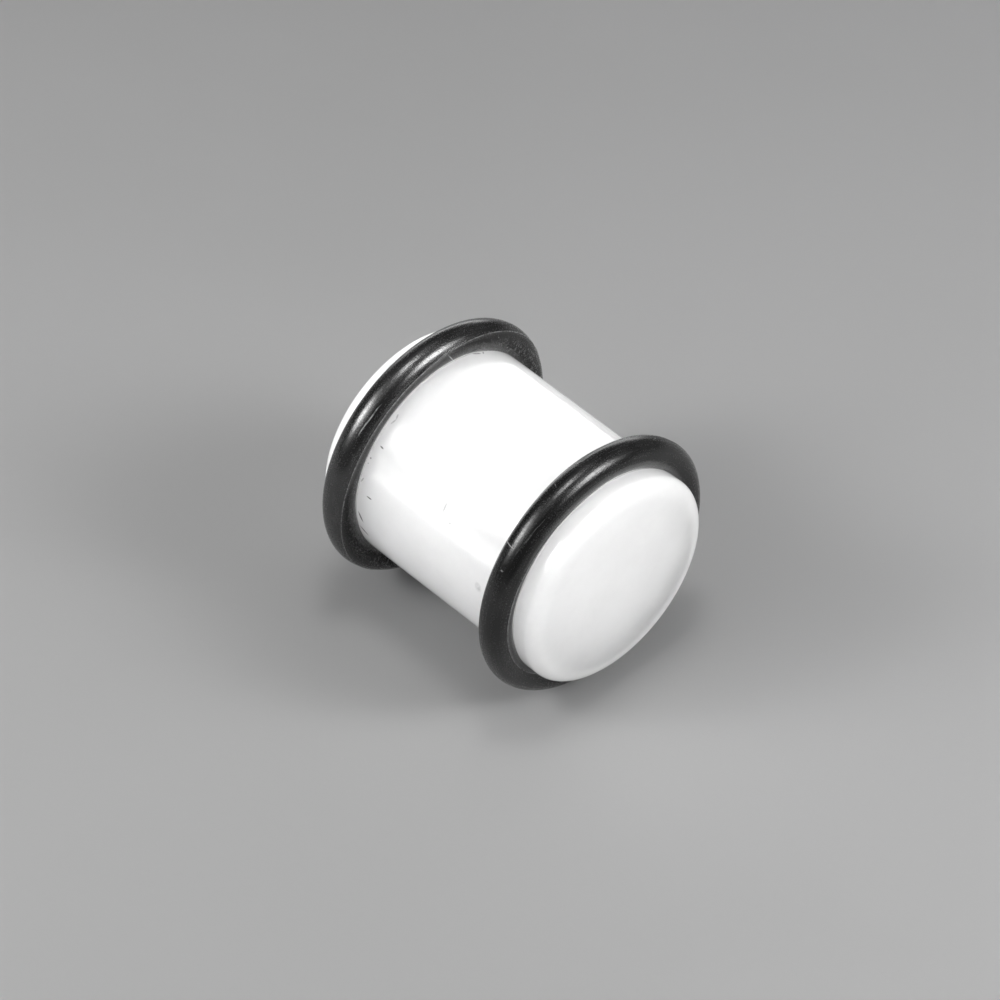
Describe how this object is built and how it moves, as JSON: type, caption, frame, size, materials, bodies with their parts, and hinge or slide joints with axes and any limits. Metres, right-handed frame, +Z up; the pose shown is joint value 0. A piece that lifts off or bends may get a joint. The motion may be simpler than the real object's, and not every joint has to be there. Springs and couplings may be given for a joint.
{
  "type": "ear gauge plug",
  "caption": "Straight solid plug for a stretched ear lobe, held in by a rubber ring in a shallow groove near each end, lying on its side.",
  "frame": {"origin": "on the surface that the plug lies on, under the middle of its length and of its width", "axes": "+X along the plug's axis towards the front end face, +Z up from the surface that it lies on"},
  "size_m": [0.0166, 0.0156, 0.0156],
  "materials": {
    "white_acrylic": "glossy barrel, satin end faces",
    "black_rubber": "satin, slightly dusty"
  },
  "bodies": {
    "root": {"plug_body": "white_acrylic", "front_o_ring": "black_rubber", "rear_o_ring": "black_rubber"}
  },
  "joints": []
}
